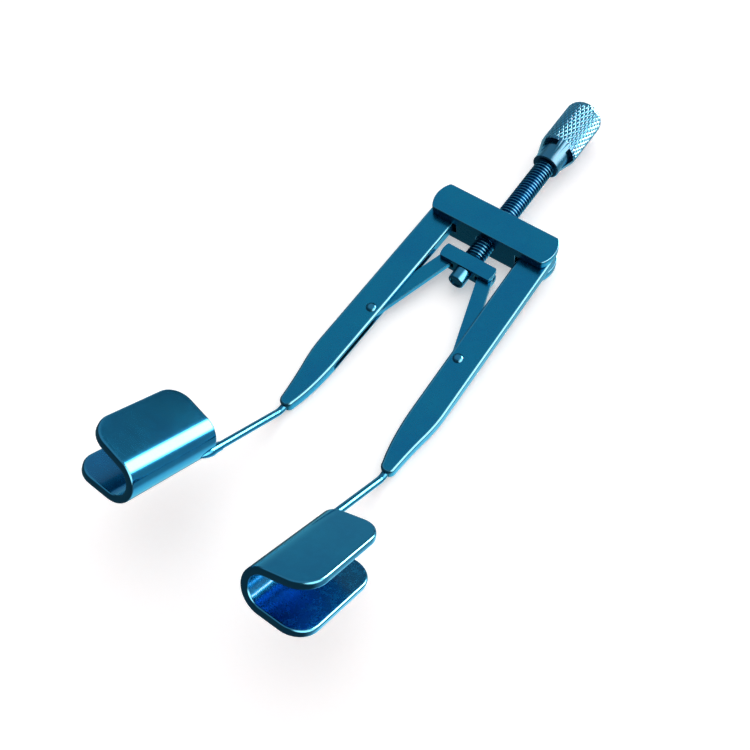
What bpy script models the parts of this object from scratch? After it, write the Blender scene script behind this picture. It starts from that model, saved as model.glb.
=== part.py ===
"""Adjustable eye speculum: two U-shaped lid blades on wire necks, held by two arms that a
screw spreads through a slider and a pair of links.

Frame: the origin is the centre of the crossbar's underside, +Z is up, +Y runs along the
screw toward the knob and +X is the side of the right arm. Lengths are in metres.
"""
from math import acos, asin, atan2, cos, pi, radians, sin, sqrt, tan

import bmesh
import bpy
from mathutils import Matrix, Vector

MM = 0.001

# Crossbar
CROSSBAR_LENGTH = 19.6 * MM
CROSSBAR_DEPTH = 4.85 * MM
CROSSBAR_HEIGHT = 5.0 * MM
CROSSBAR_END_RADIUS = 3.9 * MM
CROSSBAR_EDGE = 0.25 * MM
PIVOT_SPACING = 15.1 * MM
PIVOT_PIN_RADIUS = 0.75 * MM
PIVOT_PIN_COVER = 0.45 * MM

# Arms
ARM_THICKNESS = 1.9 * MM
ARM_ROOT_WIDTH = 4.34 * MM
ARM_SHOULDER_WIDTH = 4.2 * MM
ARM_TIP_WIDTH = 2.0 * MM
ARM_TIP_INSET = 0.12 * MM
ARM_LENGTH = 38.4 * MM
ARM_TAPER = 8.6 * MM
ARM_SPLAY = radians(1.35)
ARM_EDGE = 0.18 * MM
RIVET_DISTANCE = 20.0 * MM
RIVET_INSET = 1.28 * MM
RIVET_RADIUS = 0.5 * MM
RIVET_HEAD_RADIUS = 0.68 * MM
RIVET_HEAD_DEPTH = 0.18 * MM
RIVET_HEAD_RISE = 0.06 * MM

# Saw cut in each arm that takes the link
SAW_RADIUS = 25.7 * MM
SAW_DEPTH = 2.9 * MM
SAW_DISTANCE = 18.3 * MM

# Links
LINK_THICKNESS = 0.8 * MM
LINK_WIDTH = 2.15 * MM
LINK_EDGE = 0.1 * MM

# Slider
SLIDER_LENGTH = 8.4 * MM
SLIDER_DEPTH = 2.25 * MM
SLIDER_HEIGHT = 2.5 * MM
SLIDER_END_RADIUS = 3.3 * MM
SLIDER_EDGE = 0.15 * MM
SLIDER_REST_GAP = 3.2 * MM
SLIDER_PIN_SPACING = 6.0 * MM
SLIDER_PIN_RADIUS = 0.5 * MM
SLIDER_PIN_COVER = 0.3 * MM

# Screw and its end button
SCREW_RADIUS = 1.5 * MM
JOURNAL_RADIUS = 0.75 * MM
EXPOSED_SCREW = 11.4 * MM
SCREW_IN_KNOB = 7.75 * MM
SCREW_CHAMFER = 0.3 * MM
BUTTON_RADIUS = 1.25 * MM
BUTTON_LENGTH = 2.0 * MM
BUTTON_EDGE = 0.25 * MM
JOURNAL_RECESS = 0.15 * MM

# Knob
KNOB_RADIUS = 2.9 * MM
KNOB_NECK_RADIUS = 2.1 * MM
KNOB_NECK_LENGTH = 3.3 * MM
KNOB_BARREL_LENGTH = 8.85 * MM
KNOB_CONE_START = 1.06 * MM
KNOB_CONE_LENGTH = 2.6 * MM
KNOB_END_ROUND = 1.2 * MM
KNOB_DOME = 0.15 * MM
KNOB_COLLAR_EDGE = 0.15 * MM
KNOB_CUT_COUNT = 4
KNOB_CUT_WIDTH = radians(50.0)
KNOB_CUT_START = radians(-22.0)

# Wire necks
NECK_RADIUS = 0.5 * MM
NECK_SEAT = 4.0 * MM
NECK_BEND_RADIUS = 2.0 * MM
NECK_LENGTH = 14.6 * MM
NECK_PITCH = radians(39.7)
NECK_TOE_IN = radians(2.4)

# Lid blades
BLADE_LENGTH = 14.0 * MM
BLADE_DEPTH = 8.4 * MM
BLADE_SHEET = 1.0 * MM
BLADE_BACK_RADIUS = 3.0 * MM
BLADE_FLARE = radians(7.0)
BLADE_ROLL = radians(10.5)
BLADE_NEAR_CORNER = 2.75 * MM
BLADE_FAR_CORNER = 2.95 * MM
BLADE_EDGE = 0.3 * MM
NECK_BEHIND_SHEET = 0.35 * MM
NECK_PAST_SHEET_END = 0.45 * MM
NECK_BELOW_MIDDLE = 0.4 * MM
BOSS_MOUTH_RADIUS = 0.72 * MM
BOSS_RADIUS = 0.8 * MM
BOSS_LENGTH = 1.6 * MM
BOSS_FADE = 2.6 * MM
BOSS_SOCKET_DEPTH = 1.2 * MM

# Clearances
FIXED_FIT = 0.05 * MM
RUNNING_FIT = 0.07 * MM
SIDE_GAP = 0.1 * MM
CLEVIS_END_GAP = 0.45 * MM
SLIDER_END_GAP = 0.16 * MM
OPEN_PIVOT_PLAY = 0.2 * MM

# Facets
ROUND_STEPS = 32
PIN_STEPS = 20
WELD = 1e-6

# Places that follow from the sizes
AXIS_HEIGHT = CROSSBAR_HEIGHT / 2
PIVOT_X = PIVOT_SPACING / 2
CLEVIS_HEIGHT = ARM_THICKNESS + 2 * SIDE_GAP
CLEVIS_FLOOR = PIVOT_X - ARM_ROOT_WIDTH / 2 - CLEVIS_END_GAP
SAW_THICKNESS = LINK_THICKNESS + 2 * SIDE_GAP
SLIDER_Y = -(CROSSBAR_DEPTH + SLIDER_DEPTH) / 2 - SLIDER_REST_GAP
SLIDER_PIN_X = SLIDER_PIN_SPACING / 2
KNOB_START_Y = CROSSBAR_DEPTH / 2 + EXPOSED_SCREW
SLIDER_FLOOR = SLIDER_PIN_X - LINK_WIDTH / 2 - SLIDER_END_GAP


def make_collection(name):
    group = bpy.data.collections.new(name)
    bpy.context.scene.collection.children.link(group)
    return group


def make_material(name, colour, roughness):
    material = bpy.data.materials.new(name)
    material.use_nodes = True
    shader = material.node_tree.nodes["Principled BSDF"]
    shader.inputs["Base Color"].default_value = (*colour, 1.0)
    shader.inputs["Roughness"].default_value = roughness
    shader.inputs["Metallic"].default_value = 1.0
    material.diffuse_color = (*colour, 1.0)
    return material


def add_piece(name, mesh, colour=(0.012, 0.135, 0.29), roughness=0.34):
    """Link a mesh to the scene as a named piece with a material of its own."""
    piece = bpy.data.objects.new(name, mesh)
    PIECES.objects.link(piece)
    mesh.materials.append(make_material(name + "_titanium", colour, roughness))
    return piece


def add_cutter(name, mesh, parent=None):
    """Link a mesh as a hidden cutting tool, placed in its parent's frame."""
    cutter = bpy.data.objects.new(name, mesh)
    CUTTERS.objects.link(cutter)
    cutter.hide_render = True
    cutter.display_type = "WIRE"
    cutter.parent = parent
    return cutter


def add_axis(name, location, turn=0.0, parent=None):
    """Empty on a joint's axis, which carries the pieces that move with the joint."""
    axis = bpy.data.objects.new(name, None)
    PIECES.objects.link(axis)
    axis.empty_display_size = 3 * MM
    axis.location = location
    axis.rotation_euler.z = turn
    axis.parent = parent
    return axis


def boolean(piece, cutter, operation="DIFFERENCE"):
    modifier = piece.modifiers.new(cutter.name, "BOOLEAN")
    modifier.operation = operation
    modifier.solver = "EXACT"
    modifier.object = cutter


def bevel(piece, width, segments=2, angle=radians(40.0)):
    modifier = piece.modifiers.new("edge", "BEVEL")
    modifier.width = width
    modifier.segments = segments
    modifier.limit_method = "ANGLE"
    modifier.angle_limit = angle
    modifier.use_clamp_overlap = True


def arc(centre, radius, start, end, steps):
    """Points on a circle in the XY plane from one angle to another, both included."""
    angles = [start + (end - start) * i / steps for i in range(steps + 1)]
    return [(centre[0] + radius * cos(a), centre[1] + radius * sin(a)) for a in angles]


def bow(start, pull, end, steps):
    """Points of a quadratic curve from start to end, drawn toward the pull point."""
    points = []
    for i in range(steps + 1):
        t = i / steps
        weights = ((1 - t) ** 2, 2 * t * (1 - t), t * t)
        points.append(tuple(sum(w * p[k] for w, p in zip(weights, (start, pull, end)))
                            for k in range(2)))
    return points


def plate_mesh(name, outline, thickness, middle=0.0):
    """Flat plate: an outline in the XY plane, filled and extruded evenly about z = middle."""
    curve = bpy.data.curves.new(name, "CURVE")
    curve.dimensions = "2D"
    curve.fill_mode = "BOTH"
    curve.extrude = thickness / 2
    spline = curve.splines.new("POLY")
    spline.points.add(len(outline) - 1)
    for point, (x, y) in zip(spline.points, outline):
        point.co = (x, y, 0.0, 1.0)
    spline.use_cyclic_u = True
    return curve_to_mesh(name, curve, Matrix.Translation((0.0, 0.0, middle)))


def wire_mesh(name, path, radius):
    """Round wire with flat closed ends along a list of points."""
    curve = bpy.data.curves.new(name, "CURVE")
    curve.dimensions = "3D"
    curve.bevel_depth = radius
    curve.bevel_resolution = 4
    curve.use_fill_caps = True
    spline = curve.splines.new("POLY")
    spline.points.add(len(path) - 1)
    for point, place in zip(spline.points, path):
        point.co = (*place, 1.0)
    return curve_to_mesh(name, curve, Matrix.Identity(4))


def curve_to_mesh(name, curve, placement):
    """Closed mesh of a curve's shape, its caps welded to its sides."""
    guide = bpy.data.objects.new(name + "_curve", curve)
    bpy.context.scene.collection.objects.link(guide)
    bpy.context.view_layer.update()
    evaluated = guide.evaluated_get(bpy.context.evaluated_depsgraph_get())
    mesh = bpy.data.meshes.new_from_object(evaluated)
    mesh.name = name
    bpy.data.objects.remove(guide)
    bpy.data.curves.remove(curve)
    shape = bmesh.new()
    shape.from_mesh(mesh)
    bmesh.ops.remove_doubles(shape, verts=shape.verts, dist=WELD)
    bmesh.ops.recalc_face_normals(shape, faces=shape.faces)
    shape.to_mesh(mesh)
    shape.free()
    mesh.transform(placement)
    return mesh


def box_mesh(name, low, high):
    """Box between two corners."""
    mesh = bpy.data.meshes.new(name)
    shape = bmesh.new()
    size = [b - a for a, b in zip(low, high)]
    middle = [(a + b) / 2 for a, b in zip(low, high)]
    placement = Matrix.Translation(middle) @ Matrix.Diagonal((*size, 1.0))
    bmesh.ops.create_cube(shape, size=1.0, matrix=placement)
    shape.to_mesh(mesh)
    shape.free()
    return mesh


def rod_mesh(name, radius, start, end, steps=PIN_STEPS):
    """Solid cylinder between two points."""
    mesh = bpy.data.meshes.new(name)
    shape = bmesh.new()
    line = Vector(end) - Vector(start)
    turn = line.to_track_quat("Z", "Y").to_matrix().to_4x4()
    middle = (Vector(start) + Vector(end)) / 2
    bmesh.ops.create_cone(shape, cap_ends=True, segments=steps, radius1=radius, radius2=radius,
                          depth=line.length, matrix=Matrix.Translation(middle) @ turn)
    shape.to_mesh(mesh)
    shape.free()
    return mesh


def turned_mesh(name, profile, placement, steps=ROUND_STEPS):
    """Turned shape: a profile of (radius, height) points, listed down its outer side."""
    outline = bpy.data.meshes.new(name + "_profile")
    closed = profile[0][0] > 0
    edges = [(i, i + 1) for i in range(len(profile) - 1)]
    if closed:
        edges.append((len(profile) - 1, 0))
    outline.from_pydata([(r, 0.0, h) for r, h in profile], edges, [])
    guide = bpy.data.objects.new(name + "_profile", outline)
    bpy.context.scene.collection.objects.link(guide)
    screw = guide.modifiers.new("turn", "SCREW")
    screw.axis = "Z"
    screw.steps = steps
    screw.render_steps = steps
    screw.use_merge_vertices = True
    screw.merge_threshold = WELD
    bpy.context.view_layer.update()
    evaluated = guide.evaluated_get(bpy.context.evaluated_depsgraph_get())
    mesh = bpy.data.meshes.new_from_object(evaluated)
    mesh.name = name
    bpy.data.objects.remove(guide)
    bpy.data.meshes.remove(outline)
    mesh.transform(placement)
    return mesh


def shade(piece, angle=radians(35.0)):
    piece.data.shade_smooth()
    piece.data.set_sharp_from_angle(angle=angle)


def lens_outline(length, depth, end_radius, steps):
    """Bar with straight long sides and bowed ends, centred on the origin."""
    reach = asin(depth / 2 / end_radius)
    centre = length / 2 - end_radius
    right = arc((centre, 0.0), end_radius, -reach, reach, steps)
    left = arc((-centre, 0.0), end_radius, pi - reach, pi + reach, steps)
    return right + left


# Turns the height of a turned profile to run along +Y at the screw's height
ALONG_Y = Matrix.Translation((0.0, 0.0, AXIS_HEIGHT)) @ Matrix.Rotation(-pi / 2, 4, "X")


def make_crossbar():
    """Block with a clevis at each end for an arm and a tapped bore through its middle."""
    outline = lens_outline(CROSSBAR_LENGTH, CROSSBAR_DEPTH, CROSSBAR_END_RADIUS, 10)
    mesh = plate_mesh("crossbar", outline, CROSSBAR_HEIGHT, AXIS_HEIGHT)
    bar = add_piece("crossbar", mesh)
    bevel(bar, CROSSBAR_EDGE)
    beyond = CROSSBAR_LENGTH
    for side, label in SIDES:
        inner, outer = sorted((side * CLEVIS_FLOOR, side * beyond))
        low = (inner, -beyond, AXIS_HEIGHT - CLEVIS_HEIGHT / 2)
        high = (outer, beyond, AXIS_HEIGHT + CLEVIS_HEIGHT / 2)
        boolean(bar, add_cutter(label + "_clevis", box_mesh(label + "_clevis", low, high)))
        bottom = (side * PIVOT_X, 0.0, -CROSSBAR_HEIGHT)
        top = (side * PIVOT_X, 0.0, CROSSBAR_HEIGHT - PIVOT_PIN_COVER)
        hole = rod_mesh(label + "_pivot_bore", PIVOT_PIN_RADIUS + FIXED_FIT, bottom, top)
        boolean(bar, add_cutter(label + "_pivot_bore", hole))
    ends = [(0.0, sign * CROSSBAR_DEPTH, AXIS_HEIGHT) for sign in (-1, 1)]
    bore = rod_mesh("screw_bore", SCREW_RADIUS + RUNNING_FIT, *ends, ROUND_STEPS)
    boolean(bar, add_cutter("screw_bore", bore))
    shade(bar)


def make_pivot_pin(side, label):
    """Pin pressed up from the underside through the clevis and the arm's root."""
    start = (side * PIVOT_X, 0.0, FIXED_FIT)
    end = (side * PIVOT_X, 0.0, CROSSBAR_HEIGHT - PIVOT_PIN_COVER - FIXED_FIT)
    name = label + "_arm_pivot_pin"
    pin = add_piece(name, rod_mesh(name, PIVOT_PIN_RADIUS, start, end))
    shade(pin)


def rivet_place(side):
    """Rivet's centre in the arm's own frame, whose -Y runs along the arm."""
    slope = (ARM_ROOT_WIDTH - ARM_SHOULDER_WIDTH) / 2 / (ARM_LENGTH - ARM_TAPER)
    inner_edge = ARM_ROOT_WIDTH / 2 - slope * RIVET_DISTANCE
    return Vector((-side * (inner_edge - RIVET_INSET), -RIVET_DISTANCE, 0.0))


def arm_outline(side):
    """Round root about the pivot, near-parallel sides and a slender round tip."""
    root = ARM_ROOT_WIDTH / 2
    shoulder = ARM_SHOULDER_WIDTH / 2
    tip = ARM_TIP_WIDTH / 2
    start = ARM_TAPER - ARM_LENGTH
    end = tip - ARM_LENGTH
    points = arc((0.0, 0.0), root, 0.0, pi, 16)
    inner_pull = (-shoulder * 0.93, start + 0.62 * (end - start))
    points += bow((-shoulder, start), inner_pull, (-ARM_TIP_INSET - tip, end), 8)
    points += arc((-ARM_TIP_INSET, end), tip, pi, 2 * pi, 10)[1:-1]
    outer_pull = (shoulder * 0.62, start + 0.45 * (end - start))
    points += bow((tip - ARM_TIP_INSET, end), outer_pull, (shoulder, start), 8)
    return [(side * x, y) for x, y in points]


def neck_direction(side):
    """Heading of the raised neck in the arm's own frame."""
    level = cos(NECK_PITCH)
    heading = -side * NECK_TOE_IN
    return Vector((sin(heading) * level, -cos(heading) * level, sin(NECK_PITCH)))


def neck_path(side):
    """Neck's centre line: a straight seat in the arm, one bend, then straight to the blade."""
    along = Vector((0.0, -1.0, 0.0))
    heading = neck_direction(side)
    bend = acos(along.dot(heading))
    inward = (heading - along * cos(bend)).normalized()
    tip = Vector((-side * ARM_TIP_INSET, -ARM_LENGTH, 0.0))
    path = [tip - along * NECK_SEAT]
    steps = 8
    for i in range(steps + 1):
        turn = bend * i / steps
        path.append(tip + NECK_BEND_RADIUS * (sin(turn) * along + (1 - cos(turn)) * inward))
    straight = NECK_LENGTH - NECK_BEND_RADIUS * bend
    path.append(path[-1] + heading * straight)
    return path


def make_arm(side, label, axis):
    """Flat arm with its pivot hole, the saw cut for the link, a rivet seat and a wire socket."""
    name = label + "_arm"
    arm = add_piece(name, plate_mesh(name, arm_outline(side), ARM_THICKNESS))
    arm.parent = axis
    bevel(arm, ARM_EDGE, 1)
    half = ARM_THICKNESS
    hole = rod_mesh(label + "_arm_eye", PIVOT_PIN_RADIUS + RUNNING_FIT, (0, 0, -half), (0, 0, half))
    boolean(arm, add_cutter(label + "_arm_eye", hole, axis))
    floor = SAW_DEPTH - ARM_ROOT_WIDTH / 2 - SAW_RADIUS
    saw_centre = (side * floor, -SAW_DISTANCE)
    steps = 96
    disc = arc(saw_centre, SAW_RADIUS, 0.0, 2 * pi * (1 - 1 / steps), steps - 1)
    saw = plate_mesh(label + "_saw_cut", disc, SAW_THICKNESS)
    boolean(arm, add_cutter(label + "_saw_cut", saw, axis))
    seat_depth = ARM_THICKNESS / 2 - RIVET_HEAD_DEPTH
    seat_radius = RIVET_HEAD_RADIUS + FIXED_FIT
    shank_radius = RIVET_RADIUS + FIXED_FIT
    profile = [(0.0, half), (seat_radius, half), (seat_radius, seat_depth),
               (shank_radius, seat_depth), (shank_radius, -seat_depth),
               (seat_radius, -seat_depth), (seat_radius, -half), (0.0, -half)]
    rivet_seat = turned_mesh(label + "_rivet_seat", profile,
                             Matrix.Translation(rivet_place(side)), PIN_STEPS)
    boolean(arm, add_cutter(label + "_rivet_seat", rivet_seat, axis))
    tip = Vector((-side * ARM_TIP_INSET, -ARM_LENGTH, 0.0))
    floor_of_socket = tip + Vector((0.0, NECK_SEAT + FIXED_FIT, 0.0))
    outside = tip - Vector((0.0, NECK_SEAT, 0.0))
    socket = rod_mesh(label + "_wire_socket", NECK_RADIUS + FIXED_FIT, floor_of_socket, outside)
    boolean(arm, add_cutter(label + "_wire_socket", socket, axis))
    shade(arm)


def make_arm_rivet(side, label, axis):
    """Rivet that crosses the saw cut through the link's eye, with a low head on each face."""
    head = ARM_THICKNESS / 2 + RIVET_HEAD_RISE
    inside = ARM_THICKNESS / 2 - RIVET_HEAD_DEPTH + FIXED_FIT
    edge = RIVET_HEAD_RADIUS - RIVET_HEAD_RISE
    rim = head - RIVET_HEAD_RISE
    profile = [(0.0, head), (edge, head), (RIVET_HEAD_RADIUS, rim), (RIVET_HEAD_RADIUS, inside),
               (RIVET_RADIUS, inside), (RIVET_RADIUS, -inside), (RIVET_HEAD_RADIUS, -inside),
               (RIVET_HEAD_RADIUS, -rim), (edge, -head), (0.0, -head)]
    name = label + "_link_arm_rivet"
    place = Matrix.Translation(rivet_place(side))
    rivet = add_piece(name, turned_mesh(name, profile, place, PIN_STEPS))
    rivet.parent = axis
    shade(rivet)


def make_neck_wire(side, label, axis):
    """Round wire set into the arm's tip, bent up to carry the blade."""
    name = label + "_neck_wire"
    path = neck_path(side)
    path[-1] += neck_direction(side) * (BOSS_SOCKET_DEPTH - FIXED_FIT - BOSS_LENGTH)
    wire = add_piece(name, wire_mesh(name, path, NECK_RADIUS))
    wire.parent = axis
    shade(wire)


def blade_section(side):
    """Middle line of the blade's sheet, a U that opens away from the eye: lip to lip."""
    radius = BLADE_BACK_RADIUS - BLADE_SHEET / 2
    lip = BLADE_DEPTH - BLADE_SHEET / 2 + BLADE_SHEET
    back = arc((radius, 0.0), radius, pi / 2 + BLADE_FLARE, 3 * pi / 2 - BLADE_FLARE, 14)
    rise = back[0][1] + (lip - back[0][0]) * tan(BLADE_FLARE)
    points = [(lip, rise)] + back + [(lip, -rise)]
    return [(side * x, z) for x, z in points]


def make_blade(side, label, axis):
    """Bent sheet that hooks a lid: a U in section, round corners at the lips, a boss behind."""
    name = label + "_blade"
    section = blade_section(side)
    ends = (BLADE_LENGTH / 2, -3 * BLADE_LENGTH / 2)
    points = [(x, y, z) for y in ends for x, z in section]
    count = len(section)
    faces = [(i, i + 1, count + i + 1, count + i) for i in range(count - 1)]
    mesh = bpy.data.meshes.new(name)
    mesh.from_pydata(points, [], faces)
    blade = add_piece(name, mesh)
    blade.parent = axis
    toe_in = Matrix.Rotation(-side * NECK_TOE_IN, 4, "Z")
    pitch = Matrix.Rotation(-NECK_PITCH, 4, "X")
    roll = Matrix.Rotation(-side * BLADE_ROLL, 4, "Y")
    end_of_neck = Matrix.Translation(neck_path(side)[-1])
    set_off = (side * NECK_BEHIND_SHEET, NECK_PAST_SHEET_END, NECK_BELOW_MIDDLE)
    neck_to_sheet = Matrix.Translation(set_off)
    blade.matrix_local = end_of_neck @ toe_in @ pitch @ roll @ neck_to_sheet
    sheet = blade.modifiers.new("sheet", "SOLIDIFY")
    sheet.thickness = BLADE_SHEET
    sheet.offset = 0.0
    sheet.use_even_offset = True

    lip = BLADE_DEPTH - BLADE_SHEET / 2
    near, far = BLADE_NEAR_CORNER, BLADE_FAR_CORNER
    outline = [(-BLADE_DEPTH, -BLADE_LENGTH)]
    outline += arc((lip - far, far - BLADE_LENGTH), far, -pi / 2, 0.0, 8)
    outline += arc((lip - near, -near), near, 0.0, pi / 2, 6)
    outline += [(-BLADE_DEPTH, 0.0)]
    outline = [(side * x, y) for x, y in outline]
    plan = plate_mesh(label + "_blade_plan", outline, 3 * BLADE_DEPTH)
    boolean(blade, add_cutter(label + "_blade_plan", plan, blade), "INTERSECT")
    bevel(blade, BLADE_EDGE)

    neck_axis = neck_to_sheet.inverted()
    profile = [(0.0, BOSS_LENGTH), (BOSS_MOUTH_RADIUS, BOSS_LENGTH), (BOSS_RADIUS, 0.0),
               (0.9 * BOSS_RADIUS, -0.3 * BOSS_FADE), (0.0, -BOSS_FADE)]
    length_axis = neck_axis @ Matrix.Rotation(-pi / 2, 4, "X")
    boss = turned_mesh(label + "_boss", profile, length_axis, PIN_STEPS)
    boolean(blade, add_cutter(label + "_boss", boss, blade), "UNION")
    outside = neck_axis @ Vector((0.0, 2 * BOSS_LENGTH, 0.0))
    floor = neck_axis @ Vector((0.0, BOSS_LENGTH - BOSS_SOCKET_DEPTH, 0.0))
    socket = rod_mesh(label + "_boss_socket", NECK_RADIUS + FIXED_FIT, outside, floor)
    boolean(blade, add_cutter(label + "_boss_socket", socket, blade))
    shade(blade)


def make_slider():
    """Small bar that the screw turns in, slotted at both ends for the links."""
    outline = lens_outline(SLIDER_LENGTH, SLIDER_DEPTH, SLIDER_END_RADIUS, 6)
    slider = add_piece("slider", plate_mesh("slider", outline, SLIDER_HEIGHT))
    slider.parent = SLIDER_AXIS
    bevel(slider, SLIDER_EDGE, 1)
    beyond = SLIDER_LENGTH
    for side, label in SIDES:
        inner, outer = sorted((side * SLIDER_FLOOR, side * beyond))
        low = (inner, -beyond, -SAW_THICKNESS / 2)
        high = (outer, beyond, SAW_THICKNESS / 2)
        slot = box_mesh(label + "_slider_slot", low, high)
        boolean(slider, add_cutter(label + "_slider_slot", slot, SLIDER_AXIS))
        bottom = (side * SLIDER_PIN_X, 0.0, -SLIDER_HEIGHT)
        top = (side * SLIDER_PIN_X, 0.0, SLIDER_HEIGHT / 2 - SLIDER_PIN_COVER)
        hole = rod_mesh(label + "_slider_pin_bore", SLIDER_PIN_RADIUS + FIXED_FIT, bottom, top)
        boolean(slider, add_cutter(label + "_slider_pin_bore", hole, SLIDER_AXIS))
    ends = [(0.0, sign * SLIDER_DEPTH, 0.0) for sign in (-1, 1)]
    bore = rod_mesh("journal_bore", JOURNAL_RADIUS + RUNNING_FIT, *ends)
    boolean(slider, add_cutter("journal_bore", bore, SLIDER_AXIS))
    shade(slider)


def make_slider_pin(side, label):
    """Pin pressed up from the underside through the slider and the link's near eye."""
    start = (side * SLIDER_PIN_X, 0.0, FIXED_FIT - SLIDER_HEIGHT / 2)
    end = (side * SLIDER_PIN_X, 0.0, SLIDER_HEIGHT / 2 - SLIDER_PIN_COVER - FIXED_FIT)
    name = label + "_link_slider_pin"
    pin = add_piece(name, rod_mesh(name, SLIDER_PIN_RADIUS, start, end))
    pin.parent = SLIDER_AXIS
    shade(pin)


def make_link(side, label):
    """Flat link from the slider's pin to the arm's rivet, with a loose eye at the rivet."""
    name = label + "_link"
    turn = Matrix.Rotation(side * ARM_SPLAY, 3, "Z")
    rivet = Vector((side * PIVOT_X, 0.0, 0.0)) + turn @ rivet_place(side)
    reach = rivet - Vector((side * SLIDER_PIN_X, SLIDER_Y, 0.0))
    length = sqrt(reach.x ** 2 + reach.y ** 2)
    axis = add_axis(name + "_axis", (side * SLIDER_PIN_X, 0.0, 0.0),
                    atan2(reach.x, -reach.y), SLIDER_AXIS)
    round_end = LINK_WIDTH / 2
    outline = arc((0.0, 0.0), round_end, 0.0, pi, 12)
    outline += arc((0.0, -length), round_end, pi, 2 * pi, 12)
    link = add_piece(name, plate_mesh(name, outline, LINK_THICKNESS))
    link.parent = axis
    bevel(link, LINK_EDGE, 1)
    eyes = ((0.0, SLIDER_PIN_RADIUS + RUNNING_FIT, "near"),
            (-length, RIVET_RADIUS + OPEN_PIVOT_PLAY, "far"))
    for place, radius, end in eyes:
        cutter_name = "_".join((label, "link", end, "eye"))
        ends = [(0.0, place, sign * LINK_THICKNESS) for sign in (-1, 1)]
        eye = rod_mesh(cutter_name, radius, *ends, 24)
        boolean(link, add_cutter(cutter_name, eye, axis))
    shade(link)


def make_screw():
    """Screw with a thin journal at the slider's end; its thread is left to the finish."""
    button_end = SLIDER_Y - SLIDER_DEPTH / 2 - SIDE_GAP - BUTTON_LENGTH
    journal_end = button_end + JOURNAL_RECESS
    shoulder = SLIDER_Y + SLIDER_DEPTH / 2 + SIDE_GAP
    knob_end = KNOB_START_Y + SCREW_IN_KNOB
    profile = [(0.0, knob_end), (SCREW_RADIUS - SCREW_CHAMFER, knob_end),
               (SCREW_RADIUS, knob_end - SCREW_CHAMFER), (SCREW_RADIUS, shoulder + SCREW_CHAMFER),
               (SCREW_RADIUS - SCREW_CHAMFER, shoulder), (JOURNAL_RADIUS, shoulder),
               (JOURNAL_RADIUS, journal_end), (0.0, journal_end)]
    screw = add_piece("screw", turned_mesh("screw", profile, ALONG_Y))
    shade(screw)
    return screw


def make_end_button():
    """Collar riveted on the journal's end, which keeps the slider on the screw."""
    rear = SLIDER_Y - SLIDER_DEPTH / 2 - SIDE_GAP
    front = rear - BUTTON_LENGTH
    bore = JOURNAL_RADIUS + FIXED_FIT
    profile = [(bore, rear), (BUTTON_RADIUS, rear), (BUTTON_RADIUS, front + BUTTON_EDGE),
               (BUTTON_RADIUS - BUTTON_EDGE, front), (bore, front)]
    button = add_piece("end_button", turned_mesh("end_button", profile, ALONG_Y))
    shade(button)
    return button


def make_knob():
    """Thumb knob: collar, a cone with four milled cuts and a round-ended barrel."""
    collar = KNOB_START_Y
    shoulder = collar + KNOB_NECK_LENGTH
    end = shoulder + KNOB_BARREL_LENGTH
    cone_start = collar + KNOB_CONE_START
    bore = SCREW_RADIUS + FIXED_FIT
    floor = collar + SCREW_IN_KNOB + FIXED_FIT
    round_end = arc((KNOB_RADIUS - KNOB_END_ROUND, end - KNOB_END_ROUND - KNOB_DOME),
                    KNOB_END_ROUND, pi / 2, 0.0, 6)
    profile = [(0.0, end)] + round_end
    profile += [(KNOB_RADIUS, cone_start + KNOB_CONE_LENGTH), (KNOB_NECK_RADIUS, cone_start),
                (KNOB_NECK_RADIUS, collar + KNOB_COLLAR_EDGE),
                (KNOB_NECK_RADIUS - KNOB_COLLAR_EDGE, collar), (bore, collar), (bore, floor),
                (0.0, floor)]
    knob = add_piece("knob", turned_mesh("knob", profile, ALONG_Y))
    low, high = cone_start - KNOB_COLLAR_EDGE, shoulder
    for i in range(KNOB_CUT_COUNT):
        middle = KNOB_CUT_START + 2 * pi * i / KNOB_CUT_COUNT
        start, stop = middle - KNOB_CUT_WIDTH / 2, middle + KNOB_CUT_WIDTH / 2
        outline = arc((0.0, 0.0), KNOB_NECK_RADIUS, start, stop, 6)
        outline += arc((0.0, 0.0), 2 * KNOB_RADIUS, stop, start, 6)
        # The outline's x is up and its y is across, seen along the screw
        cut = plate_mesh("knob_cut_%d" % (i + 1), outline, high - low)
        upright = Matrix(((0, 1, 0, 0), (0, 0, 1, (low + high) / 2), (1, 0, 0, AXIS_HEIGHT),
                          (0, 0, 0, 1)))
        cut.transform(upright)
        boolean(knob, add_cutter("knob_cut_%d" % (i + 1), cut))
    shade(knob)
    return knob


for old in list(bpy.data.objects):
    bpy.data.objects.remove(old)

SIDES = ((-1, "left"), (1, "right"))
PIECES = make_collection("eye_speculum")
CUTTERS = make_collection("cutters")
SLIDER_AXIS = add_axis("slider_travel_axis", (0.0, SLIDER_Y, AXIS_HEIGHT))

make_crossbar()
make_slider()
for side, label in SIDES:
    arm_axis = add_axis(label + "_arm_axis", (side * PIVOT_X, 0.0, AXIS_HEIGHT),
                        side * ARM_SPLAY)
    make_pivot_pin(side, label)
    make_arm(side, label, arm_axis)
    make_arm_rivet(side, label, arm_axis)
    make_neck_wire(side, label, arm_axis)
    make_blade(side, label, arm_axis)
    make_slider_pin(side, label)
    make_link(side, label)
make_screw()
make_end_button()
make_knob()
bpy.context.view_layer.update()
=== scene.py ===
"""Looks of the eye speculum: blue anodised titanium on a white table."""
from math import acos, atan2, cos, floor, pi, radians, sin, sqrt

import bmesh
import bpy
from mathutils import Matrix, Vector


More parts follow.
